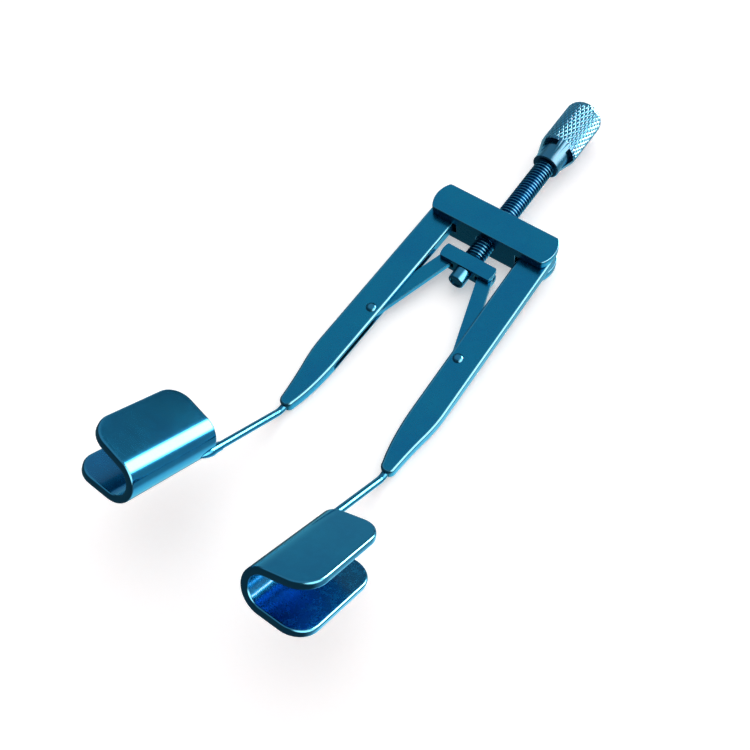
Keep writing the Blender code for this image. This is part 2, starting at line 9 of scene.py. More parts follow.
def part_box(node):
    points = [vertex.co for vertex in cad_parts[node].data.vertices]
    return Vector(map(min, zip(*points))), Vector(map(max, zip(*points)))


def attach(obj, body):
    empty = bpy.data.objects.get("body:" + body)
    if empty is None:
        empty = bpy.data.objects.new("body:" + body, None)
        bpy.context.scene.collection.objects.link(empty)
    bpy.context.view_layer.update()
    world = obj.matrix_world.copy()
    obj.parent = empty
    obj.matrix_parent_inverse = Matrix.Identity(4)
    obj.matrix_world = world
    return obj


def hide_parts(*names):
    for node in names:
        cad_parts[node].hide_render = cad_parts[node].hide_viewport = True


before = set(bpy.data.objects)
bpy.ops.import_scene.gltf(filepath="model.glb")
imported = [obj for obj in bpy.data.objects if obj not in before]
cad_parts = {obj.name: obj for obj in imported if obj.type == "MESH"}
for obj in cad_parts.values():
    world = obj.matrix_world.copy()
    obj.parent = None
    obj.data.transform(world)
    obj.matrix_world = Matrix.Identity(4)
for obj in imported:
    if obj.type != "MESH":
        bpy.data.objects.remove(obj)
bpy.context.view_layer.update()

MM = 0.001


# Crossbar
# A milled bar of titanium that joins both arms and carries the nut thread for the screw.
# Its ends are turned to a shallow bow and slotted for the arms, its edges are broken, and
# the whole is blasted to a fine satin before it is anodised blue.

BAR_LOW, BAR_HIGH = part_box("crossbar")
BAR_LENGTH = BAR_HIGH.x - BAR_LOW.x
BAR_DEPTH = BAR_HIGH.y - BAR_LOW.y
BAR_HEIGHT = BAR_HIGH.z - BAR_LOW.z
BAR_BOW = 3.9 * MM
BAR_CORNER = 0.5 * MM
BAR_EDGE = 0.22 * MM
BAR_CORNER_STEPS = 8
BAR_BOW_STEPS = 40
SCREW_HEIGHT = BAR_HEIGHT / 2
PIVOT_X = 7.55 * MM
PIVOT_HOLE = 0.8 * MM
PIVOT_COVER = 0.45 * MM
SLOT_HEIGHT = 2.1 * MM
SLOT_FLOOR = 4.93 * MM
SCREW_HOLE = 1.57 * MM
SCREW_HOLE_STEPS = 64
BROKEN_FROM = radians(38)
SHARP_FROM = radians(42)
SIDES = ((-1, "left"), (1, "right"))

# The oxide film's colours, and where and how far they drift, mottle, speck and pale
ANODISED_TEAL = (0.0042, 0.140, 0.272)
ANODISED_BLUE = (0.0036, 0.115, 0.265)
GRAZED_FILM = (0.120, 0.430, 0.620)
EDGE_ON_FILM = (0.45, 0.90, 1.0)
# A lighter tone for broken edges, thread crests and deep knurl cuts: a painted highlight along
# them
EDGE_HIGHLIGHT = (0.016, 0.185, 0.320)
LIGHTER, DARKER = 1.18, 0.80
FILM_SHEEN = 0.1
FILM_IOR = 1.6
DRIFT_SIZE = 6 * MM
DRIFT_SPAN, DRIFT_SHARE = (0.35, 0.68), 0.75
MOTTLE_SIZE = 0.9 * MM
MOTTLE_SPAN, MOTTLE_SHARE = (0.45, 0.75), 0.3
SPECK_SPAN, SPECK_SHARE = (0.30, 0.46), 0.35
GRAZING_SPAN, GRAZING_SHARE = (0.40, 0.95), 0.5
UNEVEN_SPAN = (0.3, 0.7)
MOTTLED_SATIN = (0.88, 1.12)
GRAINY_SATIN = (-0.1, 0.1)
GRAIN_HEIGHT = 0.012 * MM
TOOL_LINES = (0.02, 11.0, 0.02)
GRAIN_UNDER_LINES = 0.4


def add_node(tree, kind, **settings):
    node = tree.nodes.new(kind)
    for name, value in settings.items():
        setattr(node, name, value)
    return node


def fill(tree, socket, source):
    """Set a socket to a number or a colour, or link it to another node's output."""
    if isinstance(source, float):
        socket.default_value = source
    elif isinstance(source, tuple):
        socket.default_value = (*source, 1.0)
    else:
        tree.links.new(source, socket)


def combine(tree, operation, first, second):
    node = add_node(tree, "ShaderNodeMath", operation=operation)
    fill(tree, node.inputs[0], first)
    fill(tree, node.inputs[1], second)
    return node.outputs["Value"]


def mix(tree, amount, first, second, kind="RGBA"):
    node = add_node(tree, "ShaderNodeMix", data_type=kind)
    for name, source in (("Factor", amount), ("A", first), ("B", second)):
        fill(tree, node.inputs[name], source)
    return node.outputs["Result"]


def ramp(tree, value, span, result, **settings):
    """Turn a value that runs over one span into a result over another, held at its ends."""
    node = add_node(tree, "ShaderNodeMapRange", **settings)
    for name, number in zip(("From Min", "From Max", "To Min", "To Max"), (*span, *result)):
        node.inputs[name].default_value = number
    tree.links.new(value, node.inputs["Value"])
    return node.outputs["Result"]


def anodised(name, tone=ANODISED_TEAL, drift=ANODISED_BLUE, satin=0.33, grain=0.07 * MM,
             relief=0.25, clear=0.06, lay=(1.0, 1.0, 1.0), tool_lines=False):
    """Anodised titanium: an oxide film of uneven thickness over a fine blasted or cut grain.

    clear is how much the film's own surface shines white, lay stretches the grain along the
    cutting direction, and tool_lines adds the fine lines that a lathe's tool leaves.
    """
    material = bpy.data.materials.new(name)
    material.use_nodes = True
    tree = material.node_tree
    shader = tree.nodes["Principled BSDF"]
    shader.inputs["Metallic"].default_value = 1.0
    shader.inputs["Coat Weight"].default_value = clear
    shader.inputs["Coat Roughness"].default_value = FILM_SHEEN
    shader.inputs["Coat IOR"].default_value = FILM_IOR
    shader.inputs["Specular Tint"].default_value = (*EDGE_ON_FILM, 1.0)
    place = add_node(tree, "ShaderNodeTexCoord")

    def noise(size, detail, stretch=(1.0, 1.0, 1.0)):
        scaling = add_node(tree, "ShaderNodeMapping")
        scaling.inputs["Scale"].default_value = [s / size for s in stretch]
        tree.links.new(place.outputs["Object"], scaling.inputs["Vector"])
        texture = add_node(tree, "ShaderNodeTexNoise")
        texture.inputs["Scale"].default_value = 1.0
        texture.inputs["Detail"].default_value = detail
        tree.links.new(scaling.outputs["Vector"], texture.inputs["Vector"])
        return texture.outputs["Fac"]

    film = noise(DRIFT_SIZE, detail=3.0)
    mottle = noise(MOTTLE_SIZE, detail=4.0)
    fine = noise(grain, detail=5.0, stretch=lay)
    colour = mix(tree, ramp(tree, film, DRIFT_SPAN, (0.0, DRIFT_SHARE)), tone, drift)
    lighter = tuple(LIGHTER * c for c in tone)
    colour = mix(tree, ramp(tree, mottle, MOTTLE_SPAN, (0.0, MOTTLE_SHARE)), colour, lighter)
    darker = tuple(DARKER * c for c in tone)
    colour = mix(tree, ramp(tree, fine, SPECK_SPAN, (SPECK_SHARE, 0.0)), colour, darker)
    view = add_node(tree, "ShaderNodeLayerWeight")
    view.inputs["Blend"].default_value = 0.5
    paling = ramp(tree, view.outputs["Facing"], GRAZING_SPAN, (0.0, GRAZING_SHARE))
    tree.links.new(mix(tree, paling, colour, GRAZED_FILM), shader.inputs["Base Color"])

    rough = combine(tree, "ADD",
                    ramp(tree, mottle, UNEVEN_SPAN, [satin * s for s in MOTTLED_SATIN]),
                    ramp(tree, fine, UNEVEN_SPAN, [satin * s for s in GRAINY_SATIN]))
    tree.links.new(rough, shader.inputs["Roughness"])

    height = fine
    if tool_lines:
        height = combine(tree, "ADD", combine(tree, "MULTIPLY", fine, GRAIN_UNDER_LINES),
                         noise(MM, detail=2.0, stretch=TOOL_LINES))
    bump = add_node(tree, "ShaderNodeBump")
    bump.inputs["Strength"].default_value = relief
    bump.inputs["Distance"].default_value = GRAIN_HEIGHT
    tree.links.new(height, bump.inputs["Height"])
    tree.links.new(bump.outputs["Normal"], shader.inputs["Normal"])
    return material


def settle(piece):
    """Keep the shape that the piece's modifiers give, and drop the modifiers."""
    bpy.context.view_layer.update()
    evaluated = piece.evaluated_get(bpy.context.evaluated_depsgraph_get())
    shape = bpy.data.meshes.new_from_object(evaluated)
    rough_shape = piece.data
    piece.modifiers.clear()
    piece.data = shape
    bpy.data.meshes.remove(rough_shape)


def new_piece(name, shape):
    piece = bpy.data.objects.new(name, shape)
    bpy.context.scene.collection.objects.link(piece)
    return piece


def piece_from(name, shape):
    """Make a piece of a shape that has been worked out, and let the shape go."""
    mesh = bpy.data.meshes.new(name)
    shape.to_mesh(mesh)
    shape.free()
    return new_piece(name, mesh)


def arc(centre, radius, start, end, steps):
    """Points on a circle from one angle to another, both ends included."""
    turns = [start + (end - start) * i / steps for i in range(steps + 1)]
    return [(centre[0] + radius * cos(t), centre[1] + radius * sin(t)) for t in turns]


def bowed_bar(length, depth, bow, corner, steps):
    """Outline of a bar with straight sides, bowed ends and small rounded corners."""
    centre = length / 2 - bow
    rise = depth / 2 - corner
    reach = sqrt((bow - corner) ** 2 - rise ** 2)
    meet = atan2(rise, reach)
    end = arc((centre + reach, -rise), corner, -pi / 2, -meet, BAR_CORNER_STEPS)
    end += arc((centre, 0.0), bow, -meet, meet, steps)[1:-1]
    end += arc((centre + reach, rise), corner, meet, pi / 2, BAR_CORNER_STEPS)
    return end + [(-x, -y) for x, y in end]


def plate(name, outline, thickness, middle=0.0):
    """Flat plate cut to an outline in the XY plane, its faces at middle plus and minus half."""
    low, high = middle - thickness / 2, middle + thickness / 2
    shape = bmesh.new()
    bottom = [shape.verts.new((x, y, low)) for x, y in outline]
    top = [shape.verts.new((x, y, high)) for x, y in outline]
    shape.faces.new(bottom)
    shape.faces.new(top)
    for i in range(len(outline)):
        j = (i + 1) % len(outline)
        shape.faces.new((bottom[i], bottom[j], top[j], top[i]))
    bmesh.ops.recalc_face_normals(shape, faces=shape.faces)
    return piece_from(name, shape)


def block(name, low, high):
    """Box between two corners, used as a milling cutter."""
    outline = [(low[0], low[1]), (high[0], low[1]), (high[0], high[1]), (low[0], high[1])]
    return plate(name, outline, high[2] - low[2], (low[2] + high[2]) / 2)


def rod(name, radius, start, end, steps=48):
    """Cylinder between two points, used as a drill."""
    line = Vector(end) - Vector(start)
    turn = line.to_track_quat("Z", "Y").to_matrix().to_4x4()
    middle = (Vector(start) + Vector(end)) / 2
    shape = bmesh.new()
    bmesh.ops.create_cone(shape, cap_ends=True, segments=steps, radius1=radius, radius2=radius,
                          depth=line.length, matrix=Matrix.Translation(middle) @ turn)
    return piece_from(name, shape)


def machine(piece, tool, operation="DIFFERENCE"):
    """Cut a piece with a tool, or weld the tool on, and put the tool away."""
    cut = piece.modifiers.new("cut", "BOOLEAN")
    cut.operation = operation
    cut.solver = "EXACT"
    cut.object = tool
    settle(piece)
    bpy.data.objects.remove(tool)


def dress(piece, *surfaces):
    """Give a piece its surfaces: its own, the one on its edges, and any that a face asks for."""
    for surface in surfaces:
        piece.data.materials.append(surface)


def break_edges(piece, width, segments=3):
    """Round the sharp edges; the rounding takes the piece's second surface, whose lighter tone is
    a painted highlight.
    """
    edge = piece.modifiers.new("broken_edge", "BEVEL")
    edge.width = width
    edge.segments = segments
    edge.limit_method = "ANGLE"
    edge.angle_limit = BROKEN_FROM
    edge.use_clamp_overlap = True
    edge.harden_normals = False
    edge.material = 1
    settle(piece)


def finish_piece(piece, body, node):
    """Smooth a piece's shading, and let it stand for its CAD node."""
    piece.data.shade_smooth()
    piece.data.set_sharp_from_angle(angle=SHARP_FROM)
    evened = piece.modifiers.new("even_shading", "WEIGHTED_NORMAL")
    evened.keep_sharp = True
    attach(piece, body)
    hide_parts(node)


satin_titanium = anodised("satin_titanium", satin=0.28, grain=0.10 * MM, relief=0.16)
# The second surface's lighter tone is a painted highlight on edges, thread crests and knurl cuts
edge_titanium = anodised("edge_titanium", tone=EDGE_HIGHLIGHT, drift=ANODISED_TEAL, satin=0.25,
                         grain=0.05 * MM, relief=0.12, clear=0.4)

crossbar = plate("crossbar_body",
                 bowed_bar(BAR_LENGTH, BAR_DEPTH, BAR_BOW, BAR_CORNER, BAR_BOW_STEPS),
                 BAR_HEIGHT, SCREW_HEIGHT)
for side, _ in SIDES:
    inner, outer = sorted((side * SLOT_FLOOR, side * BAR_LENGTH))
    machine(crossbar, block("slot", (inner, -BAR_LENGTH, SCREW_HEIGHT - SLOT_HEIGHT / 2),
                            (outer, BAR_LENGTH, SCREW_HEIGHT + SLOT_HEIGHT / 2)))
    machine(crossbar, rod("drill", PIVOT_HOLE, (side * PIVOT_X, 0.0, -BAR_HEIGHT),
                          (side * PIVOT_X, 0.0, BAR_HEIGHT - PIVOT_COVER)))
machine(crossbar, rod("tap", SCREW_HOLE, (0.0, -BAR_DEPTH, SCREW_HEIGHT),
                      (0.0, BAR_DEPTH, SCREW_HEIGHT), SCREW_HOLE_STEPS))
dress(crossbar, satin_titanium, edge_titanium)
break_edges(crossbar, BAR_EDGE)
finish_piece(crossbar, "crossbar", "crossbar")


# Pivot pins
# Plain hard pins pressed up through the clevis from below, which the arms swing on. Their
# lower ends are faced nearly flush with the bar's underside and carry a small chamfer.

PIN_RADIUS = 0.75 * MM
PIN_CHAMFER = 0.12 * MM
PIN_STEPS = 48


def turned(name, profile, axis, steps=64):
    """Lathe-turned piece from (radius, height) points, top to bottom, round the Z axis.

    A profile that starts on the axis makes a solid, and any other one closes into a ring.
    """
    shape = bmesh.new()
    rings = []
    for radius, height in profile:
        if radius == 0.0:
            rings.append([shape.verts.new((0.0, 0.0, height))])
        else:
            turns = [2 * pi * i / steps for i in range(steps)]
            rings.append([shape.verts.new((radius * cos(t), radius * sin(t), height))
                          for t in turns])
    for upper, lower in zip(rings, rings[1:] + ([] if profile[0][0] == 0.0 else rings[:1])):
        for i in range(steps):
            j = (i + 1) % steps
            corners = [upper[i % len(upper)], upper[j % len(upper)],
                       lower[j % len(lower)], lower[i % len(lower)]]
            shape.faces.new(list(dict.fromkeys(corners)))
    bmesh.ops.recalc_face_normals(shape, faces=shape.faces)
    bmesh.ops.transform(shape, matrix=axis, verts=shape.verts)
    return piece_from(name, shape)


def pin_profile(radius, chamfer, low, high):
    return [(0.0, high), (radius - chamfer, high), (radius, high - chamfer),
            (radius, low + chamfer), (radius - chamfer, low), (0.0, low)]


turned_titanium = anodised("turned_titanium", satin=0.27, grain=0.06 * MM, relief=0.25,
                           clear=0.3, tool_lines=True)

for side, label in SIDES:
    node = label + "_arm_pivot_pin"
    low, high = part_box(node)
    pin = turned(node + "_turned", pin_profile(PIN_RADIUS, PIN_CHAMFER, low.z, high.z),
                 Matrix.Translation((side * PIVOT_X, 0.0, 0.0)), PIN_STEPS)
    dress(pin, turned_titanium, edge_titanium)
    finish_piece(pin, "crossbar", node)


# Arms
# Two flat arms milled from titanium sheet, parallel for most of their length and drawn to a
# slender tip that takes the wire. Their edges are rounded before a slitting saw cuts each
# one's inner side for the link.

ARM_LOW, ARM_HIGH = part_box("right_arm")
ARM_THICKNESS = ARM_HIGH.z - ARM_LOW.z
ARM_ROOT = 4.34 * MM
ARM_SHOULDER = 4.2 * MM
ARM_TIP = 2.0 * MM
ARM_TIP_INSET = 0.12 * MM
ARM_LENGTH = 38.4 * MM
ARM_TAPER = 8.6 * MM
ARM_SPLAY = radians(1.35)
ARM_ROUNDING = 0.36 * MM
ARM_CUT_EDGE = 0.05 * MM
ARM_BEND = 2.2 * MM
ARM_EYE = 0.82 * MM
INNER_PULL = (0.93, 0.62)
OUTER_PULL = (0.62, 0.45)
ROOT_STEPS, TAPER_STEPS, TIP_STEPS, SHOULDER_STEPS = 40, 24, 32, 10
SAW_RADIUS = 25.7 * MM
SAW_DEPTH = 2.9 * MM
SAW_DISTANCE = 18.3 * MM
SAW_THICKNESS = 1.0 * MM
SAW_STEPS = 200
RIVET_DISTANCE = 20.0 * MM
RIVET_INSET = 1.28 * MM
RIVET_SEAT_RADIUS = 0.73 * MM
RIVET_SEAT_DEPTH = 0.18 * MM
WIRE_SEAT_RADIUS = 0.55 * MM
WIRE_SEAT_DEPTH = 4.05 * MM


def bow(start, pull, end, steps):
    """Points of a smooth curve from start to end, drawn toward the pull point."""
    points = []
    for i in range(steps + 1):
        t = i / steps
        points.append(tuple((1 - t) ** 2 * start[k] + 2 * t * (1 - t) * pull[k] + t * t * end[k]
                            for k in range(2)))
    return points


def arm_outline(side):
    """Half-round root about the pivot, long sides and a round tip, in the arm's own frame."""
    root, shoulder, tip = ARM_ROOT / 2, ARM_SHOULDER / 2, ARM_TIP / 2
    start = ARM_TAPER - ARM_LENGTH
    end = tip - ARM_LENGTH
    points = arc((0.0, 0.0), root, 0.0, pi, ROOT_STEPS)
    across, along = INNER_PULL
    inner_pull = (-shoulder * across, start + along * (end - start))
    points += bow((-shoulder, start), inner_pull, (-ARM_TIP_INSET - tip, end), TAPER_STEPS)
    points += arc((-ARM_TIP_INSET, end), tip, pi, 2 * pi, TIP_STEPS)[1:-1]
    across, along = OUTER_PULL
    outer_pull = (shoulder * across, start + along * (end - start))
    taper = bow((tip - ARM_TIP_INSET, end), outer_pull, (shoulder, start), TAPER_STEPS)
    points += [place for place in taper if place[1] < start - ARM_BEND]
    points += bow(points[-1], (shoulder, start), (shoulder, start + ARM_BEND),
                  SHOULDER_STEPS)[1:]
    return [(side * x, y) for x, y in points]


def arm_frame(side):
    """The arm's own frame: origin on its pivot, -Y along the arm."""
    return (Matrix.Translation((side * PIVOT_X, 0.0, SCREW_HEIGHT))
            @ Matrix.Rotation(side * ARM_SPLAY, 4, "Z"))


def rivet_place(side):
    slope = (ARM_ROOT - ARM_SHOULDER) / 2 / (ARM_LENGTH - ARM_TAPER)
    inner_edge = ARM_ROOT / 2 - slope * RIVET_DISTANCE
    return Vector((-side * (inner_edge - RIVET_INSET), -RIVET_DISTANCE, 0.0))


for side, label in SIDES:
    half = ARM_THICKNESS / 2
    arm = plate(label + "_arm_blank", arm_outline(side), ARM_THICKNESS)
    dress(arm, satin_titanium, edge_titanium)
    break_edges(arm, ARM_ROUNDING, segments=5)
    centre = side * (SAW_DEPTH - ARM_ROOT / 2 - SAW_RADIUS)
    wheel = arc((centre, -SAW_DISTANCE), SAW_RADIUS, 0.0, 2 * pi * (SAW_STEPS - 1) / SAW_STEPS,
                SAW_STEPS - 1)
    machine(arm, plate("saw", wheel, SAW_THICKNESS))
    machine(arm, rod("drill", ARM_EYE, (0, 0, -2 * half), (0, 0, 2 * half)))
    tip = Vector((-side * ARM_TIP_INSET, -ARM_LENGTH, 0.0))
    machine(arm, rod("drill", WIRE_SEAT_RADIUS, tip + Vector((0, WIRE_SEAT_DEPTH, 0)),
                     tip - Vector((0, WIRE_SEAT_DEPTH, 0))))
    seat = RIVET_SEAT_RADIUS
    shank = WIRE_SEAT_RADIUS
    floor_height = half - RIVET_SEAT_DEPTH
    machine(arm, turned("countersink",
                        [(0.0, 2 * half), (seat, 2 * half), (seat, floor_height),
                         (shank, floor_height), (shank, -floor_height),
                         (seat, -floor_height), (seat, -2 * half), (0.0, -2 * half)],
                        Matrix.Translation(rivet_place(side)), PIN_STEPS))
    arm.data.transform(arm_frame(side))
    break_edges(arm, ARM_CUT_EDGE, segments=2)
    finish_piece(arm, label + "_arm", label + "_arm")


# Link rivets
# A soft titanium rivet crosses each saw cut through the link's eye and is closed with a low
# round head in a shallow seat on both faces of the arm.

HEAD_RADIUS = 0.68 * MM
HEAD_RISE = 0.2 * MM
HEAD_GAP = 0.03 * MM
HEAD_CROWN = ((0.0, 0.0), (0.35, 0.08), (0.65, 0.32), (0.87, 0.7), (1.0, 1.15))
RIVET_RADIUS = 0.5 * MM


def rivet_profile(head_radius, rise, half, seat_depth, shank):
    """Head, shank and head of a rivet, from the top centre down."""
    top = half + rise
    under = half - seat_depth
    crown = [(across * head_radius, top - down * rise) for across, down in HEAD_CROWN]
    upper = crown + [(head_radius, under), (shank, under)]
    return upper + [(r, -h) for r, h in reversed(upper)]


for side, label in SIDES:
    node = label + "_link_arm_rivet"
    rivet = turned(node + "_turned",
                   rivet_profile(HEAD_RADIUS, HEAD_RISE, ARM_THICKNESS / 2,
                                 RIVET_SEAT_DEPTH - HEAD_GAP, RIVET_RADIUS),
                   arm_frame(side) @ Matrix.Translation(rivet_place(side)), PIN_STEPS)
    dress(rivet, turned_titanium, edge_titanium)
    finish_piece(rivet, label + "_arm", node)


# Screw
# A 3 mm screw with a fine right-hand thread. Its front end is turned down to a journal that
# runs through the slider, and its rear end is fixed in the knob.

SCREW_LOW, SCREW_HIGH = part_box("screw")
THREAD_RADIUS = 1.5 * MM
THREAD_DEPTH = 0.29 * MM
THREAD_PITCH = 0.5 * MM
THREAD_CREST = 0.14
THREAD_ROOT = 0.20
THREAD_STEPS = 64
THREAD_GAP = 0.1 * MM
SPARE_TURNS = 3
WELD_GAP = 0.0005 * MM
SLIVER = 0.0002 * MM
JOURNAL_RADIUS = 0.75 * MM
SLIDER_LOW, SLIDER_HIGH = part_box("slider")
THREAD_START = SLIDER_HIGH.y + THREAD_GAP
THREAD_END = SCREW_HIGH.y


def threaded_screw(name):
    """Screw along +Y: a helical grid whose rows follow crest, flanks and root.

    The grid runs over at both ends, where its height is held to a chamfer and a flat end.
    """
    flank = (1.0 - THREAD_CREST - THREAD_ROOT) / 2
    rows = ((0.0, 0.0), (THREAD_CREST, 0.0), (THREAD_CREST + flank, THREAD_DEPTH),
            (1.0 - flank, THREAD_DEPTH))
    turns = int((THREAD_END - THREAD_START) / THREAD_PITCH) + SPARE_TURNS
    shape = bmesh.new()

    def point(step, y, radius):
        angle = 2 * pi * step / THREAD_STEPS
        place = (radius * sin(angle), y, SCREW_HEIGHT + radius * cos(angle))
        return shape.verts.new(place)

    def thread_point(step, row):
        turn, kind = divmod(row, len(rows))
        share, depth = rows[kind]
        y = THREAD_START + THREAD_PITCH * (turn - 1 + share + step / THREAD_STEPS)
        y = min(max(y, THREAD_START), THREAD_END)
        inside = min(y - THREAD_START, THREAD_END - y)
        chamfered = THREAD_RADIUS - THREAD_DEPTH + inside
        return point(step, y, min(THREAD_RADIUS - depth, chamfered))

    grid = [[thread_point(step, row) for row in range(turns * len(rows))]
            for step in range(THREAD_STEPS + 1)]
    for first, second in zip(grid, grid[1:]):
        for row in range(len(first) - 1):
            side_of_thread = shape.faces.new((first[row], first[row + 1],
                                              second[row + 1], second[row]))
            # Crest faces take the second surface, whose lighter tone paints a highlight line
            # along each crest
            side_of_thread.material_index = 1 if row % len(rows) == 0 else 0
    root = THREAD_RADIUS - THREAD_DEPTH
    tail = [(root, THREAD_START), (JOURNAL_RADIUS, THREAD_START),
            (JOURNAL_RADIUS, SCREW_LOW.y), (0.0, SCREW_LOW.y)]
    for stations in (tail, [(root, THREAD_END), (0.0, THREAD_END)]):
        rings = [[point(step, y, r) for step in range(THREAD_STEPS)] for r, y in stations]
        for ring, after in zip(rings, rings[1:]):
            for i in range(THREAD_STEPS):
                j = (i + 1) % THREAD_STEPS
                shape.faces.new((ring[i], ring[j], after[j], after[i]))
    bmesh.ops.remove_doubles(shape, verts=shape.verts, dist=WELD_GAP)
    bmesh.ops.dissolve_degenerate(shape, edges=shape.edges, dist=SLIVER)
    bmesh.ops.recalc_face_normals(shape, faces=shape.faces)
    return piece_from(name, shape)


# The thread's tone, darker than the other parts' film, is painted shade on its flanks
thread_titanium = anodised("thread_titanium", tone=(0.003, 0.075, 0.160), satin=0.24,
                           grain=0.05 * MM, relief=0.2)
screw = threaded_screw("screw_threaded")
dress(screw, thread_titanium, edge_titanium)
finish_piece(screw, "screw", "screw")


# Slider
# A small milled bar that the journal turns in. Both ends are bowed and slotted for the
# links, and it rides back and forth between the arms as the screw turns.

SLIDER_LENGTH = SLIDER_HIGH.x - SLIDER_LOW.x
SLIDER_DEPTH = SLIDER_HIGH.y - SLIDER_LOW.y
SLIDER_HEIGHT = SLIDER_HIGH.z - SLIDER_LOW.z
SLIDER_Y = (SLIDER_LOW.y + SLIDER_HIGH.y) / 2
SLIDER_BOW = 3.3 * MM
SLIDER_CORNER = 0.25 * MM
SLIDER_EDGE = 0.1 * MM
SLIDER_BOW_STEPS = 16
LINK_SLOT = 1.0 * MM
LINK_SLOT_FLOOR = 1.765 * MM
LINK_PIN_X = 3.0 * MM
LINK_PIN_HOLE = 0.55 * MM
LINK_PIN_COVER = 0.3 * MM
JOURNAL_HOLE = 0.82 * MM

slider = plate("slider_body",
               bowed_bar(SLIDER_LENGTH, SLIDER_DEPTH, SLIDER_BOW, SLIDER_CORNER,
                         SLIDER_BOW_STEPS), SLIDER_HEIGHT)
for side, _ in SIDES:
    inner, outer = sorted((side * LINK_SLOT_FLOOR, side * SLIDER_LENGTH))
    machine(slider, block("slot", (inner, -SLIDER_LENGTH, -LINK_SLOT / 2),
                          (outer, SLIDER_LENGTH, LINK_SLOT / 2)))
    machine(slider, rod("drill", LINK_PIN_HOLE, (side * LINK_PIN_X, 0.0, -SLIDER_HEIGHT),
                        (side * LINK_PIN_X, 0.0, SLIDER_HEIGHT / 2 - LINK_PIN_COVER)))
machine(slider, rod("drill", JOURNAL_HOLE, (0.0, -SLIDER_DEPTH, 0.0), (0.0, SLIDER_DEPTH, 0.0)))
slider.data.transform(Matrix.Translation((0.0, SLIDER_Y, SCREW_HEIGHT)))
dress(slider, satin_titanium, edge_titanium)
break_edges(slider, SLIDER_EDGE)
finish_piece(slider, "slider", "slider")


# Slider pins
# Two short pins pressed up from the slider's underside, one through the near eye of each
# link.

LINK_PIN_RADIUS = 0.5 * MM
LINK_PIN_CHAMFER = 0.08 * MM
LINK_PIN_STEPS = 40

for side, label in SIDES:
    node = label + "_link_slider_pin"
    low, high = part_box(node)
    pin = turned(node + "_turned",
                 pin_profile(LINK_PIN_RADIUS, LINK_PIN_CHAMFER, low.z, high.z),
                 Matrix.Translation((side * LINK_PIN_X, SLIDER_Y, 0.0)), LINK_PIN_STEPS)
    dress(pin, turned_titanium, edge_titanium)
    finish_piece(pin, "slider", node)


# Links
# Thin flat links with round ends. Each one runs from its pin in the slider into the saw cut
# of its arm and turns on the arm's rivet.

LINK_THICKNESS = 0.8 * MM
LINK_WIDTH = 2.15 * MM
LINK_EDGE = 0.09 * MM
LINK_NEAR_EYE = 0.57 * MM
LINK_FAR_EYE = 0.7 * MM
LINK_END_STEPS = 32

for side, label in SIDES:
    start = Vector((side * LINK_PIN_X, SLIDER_Y, SCREW_HEIGHT))
    reach = arm_frame(side) @ rivet_place(side) - start
    length = reach.length
    rounding = LINK_WIDTH / 2
    outline = arc((0.0, 0.0), rounding, 0.0, pi, LINK_END_STEPS)
    outline += arc((0.0, -length), rounding, pi, 2 * pi, LINK_END_STEPS)
    link = plate(label + "_link_flat", outline, LINK_THICKNESS)
    for place, hole in ((0.0, LINK_NEAR_EYE), (-length, LINK_FAR_EYE)):
        machine(link, rod("drill", hole, (0, place, -LINK_THICKNESS), (0, place, LINK_THICKNESS)))
    link.data.transform(Matrix.Translation(start)
                        @ Matrix.Rotation(atan2(reach.x, -reach.y), 4, "Z"))
    dress(link, satin_titanium, edge_titanium)
    break_edges(link, LINK_EDGE, segments=2)
    finish_piece(link, label + "_link", label + "_link")


# End button
# A small turned collar that keeps the slider on its journal. The journal's end is riveted
# over inside it and shows as a slightly sunk disc.

BUTTON_LOW, BUTTON_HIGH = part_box("end_button")
BUTTON_RADIUS = 1.25 * MM
BUTTON_EDGE = 0.28 * MM
BUTTON_EDGE_STEPS = 6
BUTTON_HOLE = 0.8 * MM
BUTTON_HOLE_EDGE = 0.07 * MM
BUTTON_BACK_EDGE = 0.08 * MM
ALONG_SCREW = Matrix.Translation((0.0, 0.0, SCREW_HEIGHT)) @ Matrix.Rotation(-pi / 2, 4, "X")

profile = [(BUTTON_HOLE, BUTTON_HIGH.y), (BUTTON_RADIUS - BUTTON_BACK_EDGE, BUTTON_HIGH.y),
           (BUTTON_RADIUS, BUTTON_HIGH.y - BUTTON_BACK_EDGE)]
profile += arc((BUTTON_RADIUS - BUTTON_EDGE, BUTTON_LOW.y + BUTTON_EDGE), BUTTON_EDGE,
               0.0, -pi / 2, BUTTON_EDGE_STEPS)
profile += [(BUTTON_HOLE + BUTTON_HOLE_EDGE, BUTTON_LOW.y),
            (BUTTON_HOLE, BUTTON_LOW.y + BUTTON_HOLE_EDGE)]
button = turned("end_button_turned", profile, ALONG_SCREW)
dress(button, turned_titanium, edge_titanium)
finish_piece(button, "screw", "end_button")


# Knob
# A turned thumb knob: a short collar, a cone with four milled cuts that leave lobes between
# them, and a barrel with a cut diamond knurl that runs out on the rounded end.

KNOB_LOW, KNOB_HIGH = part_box("knob")
KNOB_RADIUS = 2.9 * MM
COLLAR_RADIUS = 2.1 * MM
COLLAR_EDGE = 0.15 * MM
CONE_START = KNOB_LOW.y + 1.06 * MM
CONE_END = CONE_START + 2.6 * MM
SHOULDER = KNOB_LOW.y + 3.3 * MM
END_ROUND = 1.2 * MM
END_DOME = 0.15 * MM
END_ROUND_STEPS = 10
END_DOME_STEPS = 4
KNURL_COUNT = 26
KNURL_LENGTH = 1.2 * MM
KNURL_DEPTH = 0.14 * MM
KNURL_LAND = 0.52
KNURL_CUTS = 12
KNURL_PALE = 0.09 * MM
KNURL_LEAD = 0.3 * MM
KNURL_DEEPENS = 0.5 * MM
KNURL_STOPS = 0.25
CUT_WIDTH = radians(50)
CUT_START = radians(-22)
CUT_COUNT = 4
CUT_STEPS = 16
SCREW_SOCKET = 1.55 * MM
SOCKET_FLOOR = KNOB_LOW.y + 7.8 * MM


